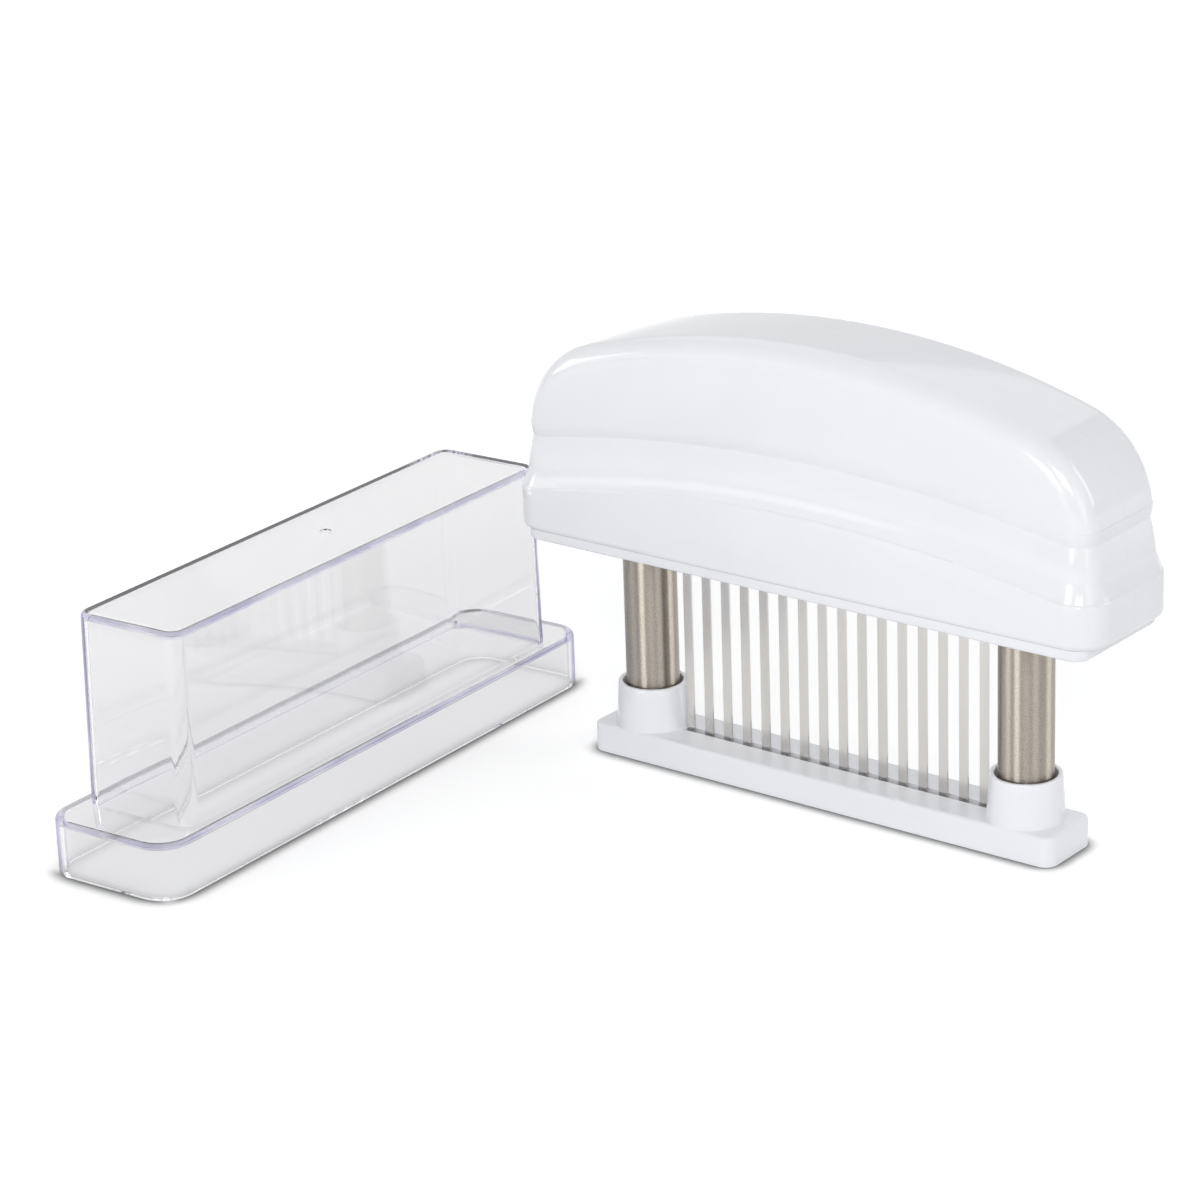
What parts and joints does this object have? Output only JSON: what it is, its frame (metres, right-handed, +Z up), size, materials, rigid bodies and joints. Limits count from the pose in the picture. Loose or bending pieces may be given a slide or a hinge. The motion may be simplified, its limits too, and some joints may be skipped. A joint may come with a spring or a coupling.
{
  "type": "blade meat tenderizer",
  "caption": "Hand-held blade meat tenderizer: an arched handle slides on two sprung columns and drives a row of flat blades through a slotted base; a clear cover stands beside it.",
  "frame": {"origin": "middle of the underside of the base, where the tool stands on the board", "axes": "+X along the handle towards its end away from the cover, +Y from the front face to the back face, +Z up out of the base towards the handle's crest"},
  "size_m": [0.193, 0.1476, 0.1021],
  "materials": {
    "white_shell": "moulded, glossy",
    "column_steel": "satin, drawn along its length",
    "blade_steel": "polished",
    "screw_steel": "plain",
    "spring_steel": "drawn wire",
    "ring_steel": "stamped",
    "plug_metal": "turned",
    "bush_plastic": "slippery, matte",
    "inner_plastic": "matte",
    "clear_plastic": "clear, glossy"
  },
  "bodies": {
    "stand": {"base": "white_shell", "column_left": "column_steel", "column_right": "column_steel", "column_end_plug_left": "plug_metal", "column_end_plug_right": "plug_metal", "column_screws": "screw_steel", "stop_ring_left": "ring_steel", "stop_ring_right": "ring_steel", "stop_washer_left": "ring_steel", "stop_washer_right": "ring_steel", "return_spring_left": "spring_steel", "return_spring_right": "spring_steel"},
    "head": {"blade_01": "blade_steel", "blade_02": "blade_steel", "blade_03": "blade_steel", "blade_04": "blade_steel", "blade_05": "blade_steel", "blade_06": "blade_steel", "blade_07": "blade_steel", "blade_08": "blade_steel", "blade_09": "blade_steel", "blade_10": "blade_steel", "blade_11": "blade_steel", "blade_12": "blade_steel", "blade_13": "blade_steel", "blade_14": "blade_steel", "blade_15": "blade_steel", "blade_16": "blade_steel", "blade_carrier": "inner_plastic", "bottom_plate": "white_shell", "carrier_cap": "inner_plastic", "carrier_screws": "screw_steel", "guide_bush_left": "bush_plastic", "guide_bush_right": "bush_plastic", "handle_front_shell": "white_shell", "handle_rear_shell": "white_shell", "plate_screws": "screw_steel"},
    "cover": {"storage_cover": "clear_plastic"}
  },
  "joints": [
    {"name": "head_press", "type": "slide", "parent": "stand", "child": "head", "axis": [0, 0, -1], "range_m": [0, 0.029], "stiffness_N_per_m": 1000, "springref_m": -0.012, "deforming": ["return_spring_left", "return_spring_right"]},
    {"name": "cover_lift", "type": "slide", "parent": "stand", "child": "cover", "axis": [0, 0, 1], "range_m": [0, 0.12]}
  ]
}
